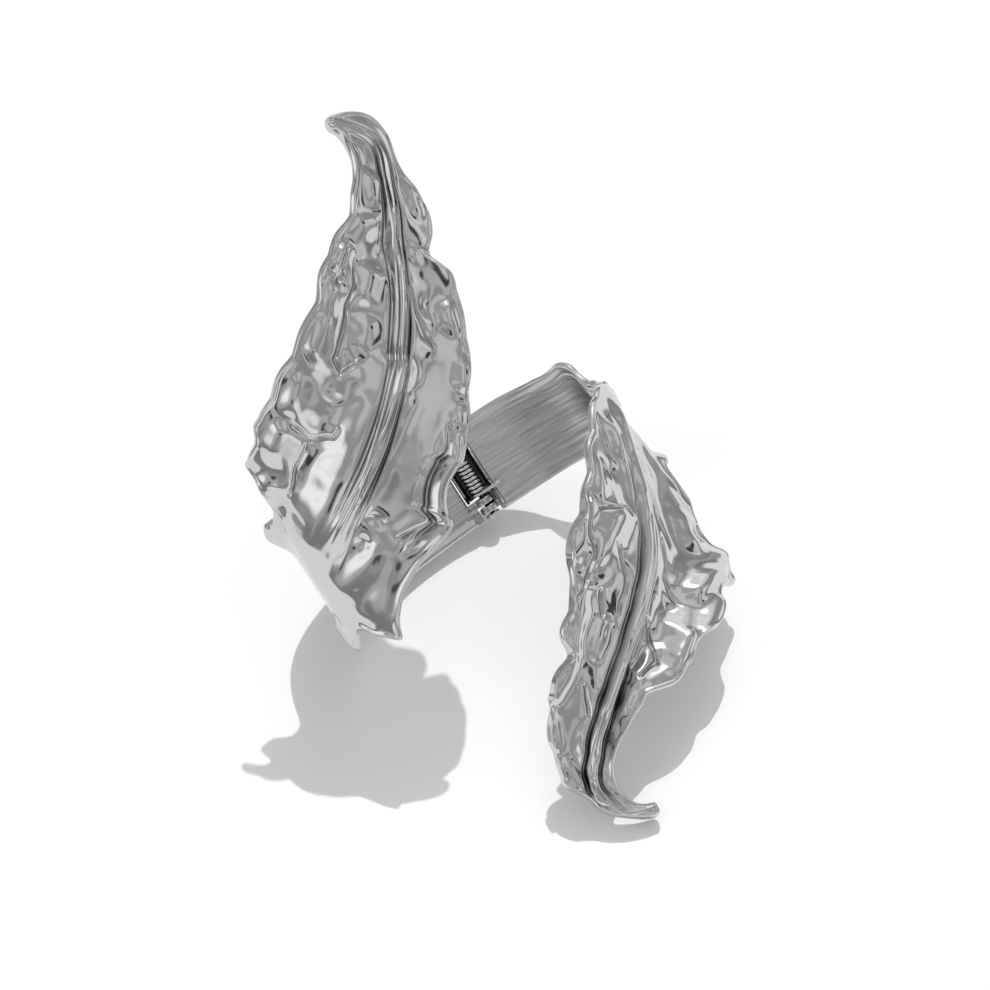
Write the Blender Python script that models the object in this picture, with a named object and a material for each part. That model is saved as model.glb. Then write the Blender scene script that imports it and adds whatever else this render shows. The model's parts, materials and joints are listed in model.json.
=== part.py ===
"""Spring-hinged leaf cuff clip: two cast leaf halves, a hinge pin and a torsion spring.

The cuff is laid out in its own frame: x across the wearer, y along the hinge pin, z from the
back band to the open front.  Each half is a sheet wrapped on an oval ring.  A sheet is
described unrolled, by arc length along the ring (0 at the middle of the front) and by height
along the pin.  The second half is turned half a revolution about z before it is wrapped.
"""

import math

import bpy
import numpy as np
from mathutils import Euler, Matrix, Vector

MM = 0.001

# Ring
RING_HALF_WIDTH = 30.1
RING_HALF_DEPTH = 18.5
SHEET = 1.2

# Hinge
HINGE_ARC = 66.4
PIN_DEPTH = 0.6
HINGE_HALF = 6.5
KNUCKLE_RADIUS = 1.4
KNUCKLE_LENGTH = 1.1
KNUCKLE_GAP = 0.3
LUG_START = 1.75
LUG_END = 7.35
LUG_REACH = 1.5
LUG_FACES = (-0.5, 0.45)
TONGUE_START = 0.6
TONGUE_REACH = 2.0
TONGUE_FACES = (-0.55, 0.5)
WINDOW_HALF = 2.3
COVER_INNER = 2.05
COVER_OUTER = 2.5
COVER_HALF = 3.7
COVER_ARC = (12.0, -172.0)
BORE_RADIUS = 0.72
BORE_OVERRUN = 3.0
PIN_RADIUS = 0.42
PIN_HEAD_RADIUS = 1.15
PIN_HEAD = 0.6
PIN_TAIL = 0.7
LOWER_SIDE = 1

# Spring
WIRE_RADIUS = 0.28
COIL_RADIUS = 1.0
COIL_TURNS = 10
COIL_PITCH = 0.66
LEG_LENGTH = 3.4
LEG_RISE = 0.4

# Midrib of each leaf
RIB_HEIGHT = 0.8
RIB_WIDTH = 0.16

# Waist: the strap draws in towards the wearer where it turns into the leaf.
# Depth, station and length along the track, and how much it fades towards the inner edge.
UPPER_WAIST = (5.0, 2.7, 0.55, 0.35)
LOWER_WAIST = (1.6, 3.0, 0.30, 0.70)

# Resting pose of the whole cuff, degrees
REST_TILT = (37.5, -1.6, 41.8)

# Leaf tracks: station, arc length, height along the pin.  Station 0 is the hinge end.
UPPER_OUTER = [
    (0.0, -85.7, 7.4), (1.0, -70.0, 7.4), (2.0, -54.0, 7.6), (2.6, -43.8, 7.6),
    (2.86, -40.4, 8.2), (3.0, -38.9, 9.8), (3.1, -38.4, 12.2), (3.22, -36.4, 13.4),
    (3.4, -33.8, 15.4), (3.7, -32.6, 18.4), (4.2, -32.1, 23.0),
    (4.8, -28.1, 27.2), (5.4, -22.7, 31.3), (6.0, -15.3, 35.6), (6.5, -9.7, 39.1),
    (7.1, -4.3, 43.7), (7.8, 2.3, 46.7), (8.5, 6.0, 50.0), (9.0, 8.2, 53.0),
    (9.5, 8.8, 56.6), (10.0, 7.6, 59.2),
]
UPPER_RIB = [
    (0.0, -85.7, 0.0), (1.0, -70.0, 0.0), (2.0, -54.0, 0.0), (3.0, -38.0, 1.0),
    (3.6, -32.4, 2.6), (4.2, -27.2, 6.7), (5.1, -19.9, 11.3), (5.7, -13.1, 15.9),
    (6.2, -7.0, 21.0), (6.7, -1.8, 26.6), (7.3, 2.9, 32.7), (7.9, 6.9, 39.3),
    (8.6, 10.8, 46.0), (9.3, 13.2, 53.4), (10.0, 8.4, 60.2),
]
UPPER_INNER = [
    (0.0, -85.7, -7.4), (1.0, -70.0, -7.6), (2.0, -54.0, -8.0), (2.6, -45.0, -6.8),
    (3.0, -39.0, -5.6), (3.15, -36.5, -8.0), (3.25, -34.8, -8.4), (3.45, -31.5, -6.4),
    (3.62, -28.8, -8.8), (3.75, -26.6, -9.8), (3.9, -24.5, -7.6), (4.1, -22.3, -5.2),
    (4.4, -19.0, -3.2), (4.8, -14.2, -1.6), (5.0, -10.4, -0.6),
    (5.2, -9.6, 2.0), (5.45, -7.9, 4.6), (5.7, -5.2, 6.1), (5.9, -3.2, 6.8),
    (6.1, -0.5, 9.4), (6.6, 3.4, 14.1), (7.1, 8.1, 20.3), (7.5, 10.8, 25.6),
    (7.85, 12.6, 30.7), (8.1, 11.2, 34.3), (8.35, 13.6, 37.0), (8.7, 15.7, 41.0),
    (9.1, 15.4, 47.8), (9.45, 16.8, 53.4), (9.75, 14.9, 58.0), (10.0, 9.4, 61.2),
]
LOWER_OUTER = [
    (0.0, -64.1, 7.4), (1.0, -57.0, 7.4), (2.0, -50.0, 7.4), (2.6, -43.0, 7.6),
    (3.0, -37.5, 10.0), (3.3, -34.5, 12.8), (3.8, -34.5, 20.7), (4.3, -33.0, 27.5),
    (4.7, -31.5, 33.2), (5.1, -27.0, 33.4), (5.4, -23.5, 34.1), (5.7, -18.8, 37.2),
    (6.0, -13.5, 36.3), (6.25, -9.7, 39.2), (6.6, -3.8, 38.7), (7.0, 0.6, 39.2),
    (7.5, 4.6, 40.7), (8.0, 7.6, 42.3), (8.5, 9.9, 44.5), (9.0, 10.8, 47.5),
    (9.5, 9.6, 50.6), (10.0, 6.8, 52.2),
]
LOWER_RIB = [
    (0.0, -64.1, 0.0), (1.0, -57.0, 0.0), (2.0, -50.0, 0.0), (2.6, -43.0, 0.2), (3.0, -37.2, 0.9),
    (3.4, -31.5, 2.8), (3.8, -27.5, 7.5), (4.5, -21.3, 14.5), (5.2, -15.9, 20.8),
    (6.0, -9.5, 26.1), (6.8, -2.5, 30.8), (7.6, 4.4, 35.4), (8.4, 10.6, 40.3),
    (9.2, 13.8, 46.0), (9.6, 12.4, 50.5), (10.0, 7.4, 53.4),
]
LOWER_INNER = [
    (0.0, -64.1, -7.4), (1.0, -57.0, -7.5), (2.0, -50.0, -7.0), (2.4, -46.8, -7.0),
    (2.55, -44.4, -7.4), (2.7, -42.3, -6.3), (2.82, -41.3, -4.6), (2.96, -40.0, -3.2),
    (3.12, -38.0, -2.4), (3.3, -35.4, -2.0), (3.7, -30.0, -2.4), (4.0, -25.6, -2.6),
    (4.4, -21.0, -0.2), (4.8, -16.7, 2.6), (5.2, -12.8, 6.2), (5.9, -5.8, 11.1),
    (6.2, -2.3, 13.4), (6.5, -1.0, 17.1),
    (6.9, 2.5, 20.5), (7.3, 5.7, 23.6), (7.55, 6.4, 25.9), (8.0, 12.2, 29.3),
    (8.25, 13.1, 31.8), (8.5, 15.8, 34.2), (8.8, 16.2, 37.6), (9.1, 17.8, 41.4),
    (9.4, 16.1, 45.3), (9.7, 14.4, 49.7), (10.0, 8.2, 54.8),
]
STATIONS = 66
ACROSS = 10


def clear_scene():
    for obj in list(bpy.data.objects):
        bpy.data.objects.remove(obj, do_unlink=True)


def ring_tables():
    angle = np.linspace(-2 * math.pi, 2 * math.pi, 8001)
    speed = np.hypot(RING_HALF_WIDTH * np.cos(angle), RING_HALF_DEPTH * np.sin(angle))
    arc = np.concatenate([[0.0], np.cumsum((speed[1:] + speed[:-1]) / 2 * np.diff(angle))])
    return angle, arc - np.interp(0.0, angle, arc)


RING_ANGLE, RING_ARC = ring_tables()


def on_ring(arc, height, lift):
    """Point(s) of the ring's outer face at an arc length, moved out along the normal."""
    angle = np.interp(arc, RING_ARC, RING_ANGLE)
    normal_x = np.sin(angle) / RING_HALF_WIDTH
    normal_z = np.cos(angle) / RING_HALF_DEPTH
    size = np.hypot(normal_x, normal_z)
    x = RING_HALF_WIDTH * np.sin(angle) + lift * normal_x / size
    z = RING_HALF_DEPTH * np.cos(angle) + lift * normal_z / size
    return np.stack([x, height + 0.0 * x, z], axis=-1)


def smooth_track(points, at):
    """A cubic through the points, with slopes from their neighbours."""
    points = np.array(points)
    knots = points[:, 0]
    values = points[:, 1:]
    slopes = np.gradient(values, knots, axis=0)
    slopes[0] = (values[1] - values[0]) / (knots[1] - knots[0])
    index = np.clip(np.searchsorted(knots, at) - 1, 0, len(knots) - 2)
    span = (knots[index + 1] - knots[index])[:, None]
    t = (at[:, None] - knots[index][:, None]) / span
    start = (2 * t**3 - 3 * t**2 + 1) * values[index]
    start_slope = (t**3 - 2 * t**2 + t) * span * slopes[index]
    end = (3 * t**2 - 2 * t**3) * values[index + 1]
    end_slope = (t**3 - t**2) * span * slopes[index + 1]
    return start + start_slope + end + end_slope


def half_sheet(name, outer, rib, inner, waist, turned):
    """One cast half without its knuckles, as a closed sheet."""
    at = np.linspace(0.0, 10.0, STATIONS)
    outer_track = smooth_track(outer, at)
    rib_track = smooth_track(rib, at)
    inner_track = smooth_track(inner, at)
    across = np.linspace(-1.0, 1.0, ACROSS + 1)
    left = np.clip(-across, 0, 1)[None, :, None]
    right = np.clip(across, 0, 1)[None, :, None]
    middle = 1 - left - right
    flat = left * outer_track[:, None] + middle * rib_track[:, None] + right * inner_track[:, None]
    leaf = np.clip((at - 3.0) / 1.0, 0, 1) * np.clip((10.2 - at) / 1.0, 0, 1)
    lift = leaf[:, None] * RIB_HEIGHT * np.exp(-((across[None, :] / RIB_WIDTH) ** 2))
    depth, station, length, fade = waist
    hollow = depth * np.exp(-(((at - station) / length) ** 2))
    lift -= hollow[:, None] * (1 - fade * np.clip(across, 0, 1)[None, :] ** 2)
    sides = []
    for depth in (0.0, -SHEET):
        points = on_ring(flat[..., 0], flat[..., 1], lift + depth)
        if turned:
            points = points * np.array([-1.0, -1.0, 1.0])
        sides.append(points.reshape(-1, 3))
    return closed_sheet(name, sides[0], sides[1], STATIONS, ACROSS + 1)


def closed_sheet(name, top, bottom, rows, columns):
    count = rows * columns
    faces = []
    for row in range(rows - 1):
        for column in range(columns - 1):
            a = row * columns + column
            b = a + 1
            c = a + columns + 1
            d = a + columns
            faces.append((a, b, c, d))
            faces.append((count + d, count + c, count + b, count + a))
    rim = [column for column in range(columns)]
    rim += [row * columns + columns - 1 for row in range(1, rows)]
    rim += [(rows - 1) * columns + column for column in range(columns - 2, -1, -1)]
    rim += [row * columns for row in range(rows - 2, 0, -1)]
    for a, b in zip(rim, rim[1:] + rim[:1]):
        faces.append((a, count + a, count + b, b))
    return mesh_object(name, np.vstack([top, bottom]), faces)


def mesh_object(name, points, faces):
    mesh = bpy.data.meshes.new(name)
    mesh.from_pydata([tuple(p * MM) for p in points], [], faces)
    mesh.update()
    obj = bpy.data.objects.new(name, mesh)
    bpy.context.scene.collection.objects.link(obj)
    outward(mesh)
    return obj


def outward(mesh):
    """Turns the faces round when the mesh encloses a negative volume."""
    points = np.array([v.co[:] for v in mesh.vertices])
    volume = 0.0
    for polygon in mesh.polygons:
        corners = points[list(polygon.vertices)]
        for i in range(1, len(corners) - 1):
            volume += float(np.dot(corners[0], np.cross(corners[i], corners[i + 1])))
    if volume < 0:
        mesh.flip_normals()


def hinge_frame():
    """Pin centre, direction along the band and direction into the ring, in millimetres."""
    centre = on_ring(np.array(HINGE_ARC), 0.0, -PIN_DEPTH)
    surface = on_ring(np.array(HINGE_ARC), 0.0, 0.0)
    inward = Vector((centre - surface).tolist()).normalized()
    along = Vector((0.0, 1.0, 0.0)).cross(inward).normalized()
    return Vector(centre.tolist()), along, inward


PIN_CENTRE, BAND_WAY, INWARD = hinge_frame()


def hinge_point(along, height, inward):
    return PIN_CENTRE + BAND_WAY * along + INWARD * inward + Vector((0.0, height, 0.0))


def bar(name, radius, low, high, sides=28):
    """A round bar on the pin axis."""
    points = []
    faces = []
    for height in (low, high):
        for i in range(sides):
            turn = 2 * math.pi * i / sides
            points.append(hinge_point(radius * math.cos(turn), height, radius * math.sin(turn)))
    faces.append(tuple(range(sides)))
    faces.append(tuple(range(2 * sides - 1, sides - 1, -1)))
    for i in range(sides):
        j = (i + 1) % sides
        faces.append((i, i + sides, j + sides, j))
    return mesh_object(name, np.array([p[:] for p in points]), faces)


def block(name, along_range, height_range, inward_range):
    points = []
    for along in along_range:
        for height in height_range:
            for inward in inward_range:
                points.append(hinge_point(along, height, inward))
    faces = [(0, 1, 3, 2), (4, 6, 7, 5), (0, 4, 5, 1), (2, 3, 7, 6), (0, 2, 6, 4), (1, 5, 7, 3)]
    return mesh_object(name, np.array([p[:] for p in points]), faces)


def cover_shell(name):
    """Shell behind the coil, from the lower half's strap round the outside of the spring."""
    steps = 18
    start, end = (math.radians(a) for a in COVER_ARC)
    points = []
    for i in range(steps + 1):
        turn = start + (end - start) * i / steps
        for radius, height in (
            (COVER_INNER, -COVER_HALF),
            (COVER_OUTER, -COVER_HALF),
            (COVER_OUTER, COVER_HALF),
            (COVER_INNER, COVER_HALF),
        ):
            points.append(hinge_point(radius * math.cos(turn), height, radius * math.sin(turn)))
    faces = [(0, 1, 2, 3), tuple(4 * steps + j for j in (3, 2, 1, 0))]
    for i in range(steps):
        for j in range(4):
            k = (j + 1) % 4
            faces.append((4 * i + j, 4 * i + 4 + j, 4 * i + 4 + k, 4 * i + k))
    return mesh_object(name, np.array([p[:] for p in points]), faces)


def combine(target, tool, operation):
    tool.hide_render = True
    tool.display_type = "WIRE"
    modifier = target.modifiers.new(tool.name, "BOOLEAN")
    modifier.operation = operation
    modifier.solver = "EXACT"
    modifier.object = tool


def add_knuckles(half, side, zones):
    """Knuckles, tongues and lugs; side is +1 where the strap leaves along BAND_WAY, else -1."""
    for i, (low, high) in enumerate(zones):
        barrel = bar(f"{half.name}_knuckle_{i}", KNUCKLE_RADIUS, low, high)
        reach = (TONGUE_START * side, (WINDOW_HALF + TONGUE_REACH) * side)
        tongue = block(f"{half.name}_tongue_{i}", sorted(reach), (low, high), TONGUE_FACES)
        reach = (LUG_START * side, (WINDOW_HALF + LUG_REACH) * side)
        ends = (COVER_HALF + KNUCKLE_GAP, LUG_END)
        if low < 0:
            ends = (-LUG_END, -COVER_HALF - KNUCKLE_GAP)
        lug = block(f"{half.name}_lug_{i}", sorted(reach), ends, LUG_FACES)
        combine(half, barrel, "UNION")
        combine(half, tongue, "UNION")
        combine(half, lug, "UNION")
    bore_half = HINGE_HALF + BORE_OVERRUN
    bore = bar(f"{half.name}_bore", BORE_RADIUS, -bore_half, bore_half)
    combine(half, bore, "DIFFERENCE")


def tube(name, path, radius, sides=6):
    """A round wire along a path, with flat ends."""
    path = [Vector(p) for p in path]
    points = []
    faces = []
    normal = None
    for i, centre in enumerate(path):
        ahead = path[min(i + 1, len(path) - 1)] - path[max(i - 1, 0)]
        ahead.normalize()
        if normal is None:
            normal = ahead.orthogonal().normalized()
        normal = (normal - ahead * normal.dot(ahead)).normalized()
        other = ahead.cross(normal)
        for j in range(sides):
            turn = 2 * math.pi * j / sides
            points.append(centre + (normal * math.cos(turn) + other * math.sin(turn)) * radius)
    for i in range(len(path) - 1):
        for j in range(sides):
            k = (j + 1) % sides
            a = i * sides
            b = a + sides
            faces.append((a + j, a + k, b + k, b + j))
    last = (len(path) - 1) * sides
    faces.append(tuple(range(sides - 1, -1, -1)))
    faces.append(tuple(range(last, last + sides)))
    return mesh_object(name, np.array([p[:] for p in points]), faces)


def spring_path():
    """Coil round the pin; both legs leave from its inner side, one along each strap."""
    length = COIL_TURNS * COIL_PITCH
    lifted = COIL_RADIUS + LEG_RISE
    path = [hinge_point(-LEG_LENGTH, length / 2, lifted)]
    steps = COIL_TURNS * 16
    for i in range(steps + 1):
        turn = 2 * math.pi * COIL_TURNS * i / steps
        height = length / 2 - length * i / steps
        along = COIL_RADIUS * math.sin(turn)
        inward = COIL_RADIUS * math.cos(turn)
        path.append(hinge_point(along, height, inward))
    path.append(hinge_point(LEG_LENGTH, -length / 2, lifted))
    return path


def metal(name, colour, roughness):
    material = bpy.data.materials.new(name)
    material.use_nodes = True
    shader = material.node_tree.nodes["Principled BSDF"]
    shader.inputs["Base Color"].default_value = (*colour, 1.0)
    shader.inputs["Metallic"].default_value = 1.0
    shader.inputs["Roughness"].default_value = roughness
    return material


def main():
    clear_scene()
    upper = half_sheet("upper_leaf_half", UPPER_OUTER, UPPER_RIB, UPPER_INNER, UPPER_WAIST, False)
    lower = half_sheet("lower_leaf_half", LOWER_OUTER, LOWER_RIB, LOWER_INNER, LOWER_WAIST, True)
    outside = (HINGE_HALF - KNUCKLE_LENGTH, HINGE_HALF)
    inside_high = outside[0] - KNUCKLE_GAP
    inside = (inside_high - KNUCKLE_LENGTH, inside_high)
    add_knuckles(lower, LOWER_SIDE, [outside, (-outside[1], -outside[0])])
    combine(lower, cover_shell("spring_cover"), "UNION")
    add_knuckles(upper, -LOWER_SIDE, [inside, (-inside[1], -inside[0])])

    pin = bar("hinge_pin", PIN_RADIUS, -HINGE_HALF - PIN_TAIL, HINGE_HALF + PIN_TAIL)
    for i, side in enumerate((-1, 1)):
        face = HINGE_HALF + KNUCKLE_GAP
        low, high = sorted((side * face, side * (face + PIN_HEAD)))
        combine(pin, bar(f"pin_head_{i}", PIN_HEAD_RADIUS, low, high), "UNION")
    spring = tube("torsion_spring", spring_path(), WIRE_RADIUS)

    upper.data.materials.append(metal("cast_upper", (0.78, 0.78, 0.79), 0.12))
    lower.data.materials.append(metal("cast_lower", (0.78, 0.78, 0.79), 0.14))
    pin.data.materials.append(metal("pin_steel", (0.66, 0.66, 0.67), 0.25))
    spring.data.materials.append(metal("spring_steel", (0.72, 0.72, 0.72), 0.2))
    for obj in (pin, spring):
        obj.data.shade_smooth()
    place(upper, lower, pin, spring)


def place(*nodes):
    """Turns the cuff to the way it lies and sets it on the floor, centred over the origin."""
    turn = Euler([math.radians(a) for a in REST_TILT], "XYZ").to_matrix()
    pivot = PIN_CENTRE * MM
    corners = np.array([(turn @ v.co)[:] for obj in nodes for v in obj.data.vertices])
    low = corners.min(axis=0)
    high = corners.max(axis=0)
    shift = Vector((-(low[0] + high[0]) / 2, -(low[1] + high[1]) / 2, -low[2]))
    for obj in list(bpy.data.objects):
        obj.data.transform(Matrix.Translation(-pivot))
        obj.rotation_euler = turn.to_euler()
        obj.location = turn @ pivot + shift


main()
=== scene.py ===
"""Looks of the spring-hinged leaf cuff clip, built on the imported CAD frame."""

import json
import math

import bpy
import numpy as np
from mathutils import Euler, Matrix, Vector


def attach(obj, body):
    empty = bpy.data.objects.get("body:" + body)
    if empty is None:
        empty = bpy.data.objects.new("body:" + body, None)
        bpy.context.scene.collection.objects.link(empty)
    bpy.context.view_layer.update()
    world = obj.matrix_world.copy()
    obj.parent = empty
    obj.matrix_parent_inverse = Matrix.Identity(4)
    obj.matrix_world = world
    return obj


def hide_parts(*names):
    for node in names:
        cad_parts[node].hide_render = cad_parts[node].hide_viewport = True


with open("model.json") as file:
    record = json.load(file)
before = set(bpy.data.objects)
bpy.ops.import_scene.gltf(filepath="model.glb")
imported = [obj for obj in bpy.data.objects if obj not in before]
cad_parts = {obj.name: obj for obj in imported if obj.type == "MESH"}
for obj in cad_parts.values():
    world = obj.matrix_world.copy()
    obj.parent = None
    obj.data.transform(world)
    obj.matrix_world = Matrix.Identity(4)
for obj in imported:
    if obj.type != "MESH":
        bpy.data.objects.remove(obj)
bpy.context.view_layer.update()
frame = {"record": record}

MM = 0.001

# The same driving dimensions as the CAD, in millimetres.
RING_HALF_WIDTH = 30.1
RING_HALF_DEPTH = 18.5
SHEET = 1.2
HINGE_ARC = 66.4
PIN_DEPTH = 0.6
HINGE_HALF = 6.5
KNUCKLE_RADIUS = 1.4
KNUCKLE_LENGTH = 1.1
KNUCKLE_GAP = 0.3
LUG_START = 1.75
LUG_END = 7.35
WINDOW_HALF = 2.3
COVER_INNER = 2.05
COVER_OUTER = 2.5
COVER_HALF = 3.7
COVER_ARC = (12.0, -172.0)
COVER_SOFT = 0.2
COVER_SPARE = 0.15
COVER_STEPS = 60
# The skirts behind the knuckles stop short of where the upper half's tongues swing to.
SKIRT_ARC = (12.0, -90.0)
TIP_ROUND = 1.7
# Looks only: rounding of the barrels, of the pin's heads and of the tongues and lugs.
BARREL_ROUND = 0.22
HEAD_ROUND = 0.35
TONGUE_ROUND = 0.18
TONGUE_START = 0.7
TONGUE_STEPS = 14
# How far a tongue runs past the window, and how fast it bends with the ring.
TONGUE_PAST = 1.8
TONGUE_BEND = 0.010
# Faces of a tongue, from the pin's centre towards the inside of the ring.
TONGUE_OUTER = -PIN_DEPTH + 0.06
TONGUE_INNER = PIN_DEPTH - 0.36
# Radius at the middle of a turned piece's end, which closes it.
END_POINT = 0.02
# How far the skirts reach past the barrels.
SKIRT_PAST = 0.1
FLOOR_HALF = 3.0
PIN_RADIUS = 0.42
PIN_HEAD_RADIUS = 1.15
PIN_HEAD = 0.6
WIRE_RADIUS = 0.28
COIL_RADIUS = 1.0
COIL_TURNS = 10
COIL_PITCH = 0.66
LEG_LENGTH = 3.4
LEG_RISE = 0.4
REST_TILT = (37.5, -1.6, 41.8)

# Tracks of each half: station, arc length, height along the pin. They were converted from landmarks
# read off the photo and then adjusted.
UPPER_OUTER = [
    (0.0, -85.7, 7.4), (1.0, -70.0, 7.4), (2.0, -54.0, 7.6), (2.6, -43.8, 7.6),
    (2.86, -40.4, 8.2), (3.0, -38.9, 9.8), (3.1, -38.4, 12.2), (3.22, -36.4, 13.4),
    (3.4, -33.8, 15.4), (3.7, -32.6, 18.4), (4.2, -32.1, 23.0),
    (4.8, -28.1, 27.2), (5.4, -22.7, 31.3), (6.0, -15.3, 35.6), (6.5, -9.7, 39.1),
    (7.1, -4.3, 43.7), (7.8, 2.3, 46.7), (8.5, 6.0, 50.0), (9.0, 8.2, 53.0),
    (9.5, 8.8, 56.6), (10.0, 7.6, 59.2),
]
UPPER_RIB = [
    (0.0, -85.7, 0.0), (1.0, -70.0, 0.0), (2.0, -54.0, 0.0), (3.0, -38.0, 1.0),
    (3.6, -32.4, 2.6), (4.2, -27.2, 6.7), (5.1, -19.9, 11.3), (5.7, -13.1, 15.9),
    (6.2, -7.0, 21.0), (6.7, -1.8, 26.6), (7.3, 2.9, 32.7), (7.9, 6.9, 39.3),
    (8.6, 10.8, 46.0), (9.3, 13.2, 53.4), (10.0, 8.4, 60.2),
]
UPPER_INNER = [
    (0.0, -85.7, -7.4), (1.0, -70.0, -7.6), (2.0, -54.0, -8.0), (2.6, -45.0, -6.8),
    (3.0, -39.0, -5.6), (3.15, -36.5, -8.0), (3.25, -34.8, -8.4), (3.45, -31.5, -6.4),
    (3.62, -28.8, -8.8), (3.75, -26.6, -9.8), (3.9, -24.5, -7.6), (4.1, -22.3, -5.2),
    (4.4, -19.0, -3.2), (4.8, -14.2, -1.6), (5.0, -10.4, -0.6),
    (5.2, -9.6, 2.0), (5.45, -7.9, 4.6), (5.7, -5.2, 6.1), (5.9, -3.2, 6.8),
    (6.1, -0.5, 9.4), (6.6, 3.4, 14.1), (7.1, 8.1, 20.3), (7.5, 10.8, 25.6),
    (7.85, 12.6, 30.7), (8.1, 11.2, 34.3), (8.35, 13.6, 37.0), (8.7, 15.7, 41.0),
    (9.1, 15.4, 47.8), (9.45, 16.8, 53.4), (9.75, 14.9, 58.0), (10.0, 9.4, 61.2),
]
LOWER_OUTER = [
    (0.0, -64.1, 7.4), (1.0, -57.0, 7.4), (2.0, -50.0, 7.4), (2.6, -43.0, 7.6),
    (3.0, -37.5, 10.0), (3.3, -34.5, 12.8), (3.8, -34.5, 20.7), (4.3, -33.0, 27.5),
    (4.7, -31.5, 33.2), (5.1, -27.0, 33.4), (5.4, -23.5, 34.1), (5.7, -18.8, 37.2),
    (6.0, -13.5, 36.3), (6.25, -9.7, 39.2), (6.6, -3.8, 38.7), (7.0, 0.6, 39.2),
    (7.5, 4.6, 40.7), (8.0, 7.6, 42.3), (8.5, 9.9, 44.5), (9.0, 10.8, 47.5),
    (9.5, 9.6, 50.6), (10.0, 6.8, 52.2),
]
LOWER_RIB = [
    (0.0, -64.1, 0.0), (1.0, -57.0, 0.0), (2.0, -50.0, 0.0), (2.6, -43.0, 0.2), (3.0, -37.2, 0.9),
    (3.4, -31.5, 2.8), (3.8, -27.5, 7.5), (4.5, -21.3, 14.5), (5.2, -15.9, 20.8),
    (6.0, -9.5, 26.1), (6.8, -2.5, 30.8), (7.6, 4.4, 35.4), (8.4, 10.6, 40.3),
    (9.2, 13.8, 46.0), (9.6, 12.4, 50.5), (10.0, 7.4, 53.4),
]
LOWER_INNER = [
    (0.0, -64.1, -7.4), (1.0, -57.0, -7.5), (2.0, -50.0, -7.0), (2.4, -46.8, -7.0),
    (2.55, -44.4, -7.4), (2.7, -42.3, -6.3), (2.82, -41.3, -4.6), (2.96, -40.0, -3.2),
    (3.12, -38.0, -2.4), (3.3, -35.4, -2.0), (3.7, -30.0, -2.4),
    (4.0, -25.6, -2.6), (4.4, -21.0, -0.2), (4.8, -16.7, 2.6),
    (5.2, -12.8, 6.2), (5.9, -5.8, 11.1), (6.2, -2.3, 13.4), (6.5, -1.0, 17.1),
    (6.9, 2.5, 20.5), (7.3, 5.7, 23.6), (7.55, 6.4, 25.9), (8.0, 12.2, 29.3),
    (8.25, 13.1, 31.8), (8.5, 15.8, 34.2), (8.8, 16.2, 37.6), (9.1, 17.8, 41.4),
    (9.4, 16.1, 45.3), (9.7, 14.4, 49.7), (10.0, 8.2, 54.8),
]
# Station where the brushed inner face of the strap gives way to the polished leaf.
BRUSHED_END = 3.6
# Reach of the smoothing of the pads and ridges.
BLUR_REACH = 0.42
# How far in from the outline both faces start to close.
EDGE_ROUND = 0.55
ROWS = 620
COLUMNS = 221


# ---------------------------------------------------------------- helpers
def smoothstep(low, high, x):
    t = np.clip((x - low) / (high - low), 0.0, 1.0)
    return t * t * (3.0 - 2.0 * t)


def bump(x, centre, width):
    return np.exp(-(((x - centre) / width) ** 2))


def lattice(ix, iy, seed):
    """A repeatable number from 0 to 1 for each lattice cell."""
    n = (ix.astype(np.int64) * 374761393 + iy.astype(np.int64) * 668265263 + seed * 982451653)
    n = (n ^ (n >> 13)) * 1274126177
    n = n & 0x7FFFFFFF
    n = (n ^ (n >> 16)) & 0xFFFFFF
    return n / float(0xFFFFFF)


def noise(x, y, seed):
    """Smooth noise from -1 to 1, one lattice cell to a unit."""
    ix = np.floor(x)
    iy = np.floor(y)
    fx = x - ix
    fy = y - iy
    fx = fx * fx * fx * (fx * (fx * 6 - 15) + 10)
    fy = fy * fy * fy * (fy * (fy * 6 - 15) + 10)
    a = lattice(ix, iy, seed)
    b = lattice(ix + 1, iy, seed)
    c = lattice(ix, iy + 1, seed)
    d = lattice(ix + 1, iy + 1, seed)
    return 2 * ((a * (1 - fx) + b * fx) * (1 - fy) + (c * (1 - fx) + d * fx) * fy) - 1


def ring_tables():
    """Angle round the ring against arc length."""
    angle = np.linspace(-2 * math.pi, 2 * math.pi, 16001)
    speed = np.hypot(RING_HALF_WIDTH * np.cos(angle), RING_HALF_DEPTH * np.sin(angle))
    arc = np.concatenate([[0.0], np.cumsum((speed[1:] + speed[:-1]) / 2 * np.diff(angle))])
    return angle, arc - np.interp(0.0, angle, arc)


RING_ANGLE, RING_ARC = ring_tables()


def on_ring(arc, height, lift):
    """Point on the ring, lifted off its surface."""
    angle = np.interp(arc, RING_ARC, RING_ANGLE)
    normal_x = np.sin(angle) / RING_HALF_WIDTH
    normal_z = np.cos(angle) / RING_HALF_DEPTH
    size = np.hypot(normal_x, normal_z)
    x = RING_HALF_WIDTH * np.sin(angle) + lift * normal_x / size
    z = RING_HALF_DEPTH * np.cos(angle) + lift * normal_z / size
    return np.stack([x, height + 0.0 * x, z], axis=-1)


PIN_CENTRE = Vector(on_ring(np.array(HINGE_ARC), 0.0, -PIN_DEPTH).tolist())
PIN_SURFACE = Vector(on_ring(np.array(HINGE_ARC), 0.0, 0.0).tolist())
INWARD = (PIN_CENTRE - PIN_SURFACE).normalized()
PIN_WAY = Vector((0.0, 1.0, 0.0))
BAND_WAY = PIN_WAY.cross(INWARD).normalized()
TURN = np.array(Euler([math.radians(a) for a in REST_TILT], "XYZ").to_matrix())
PIN_AT = np.array(frame["record"]["behaviour"]["joints"][0]["pos_m"])


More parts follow.
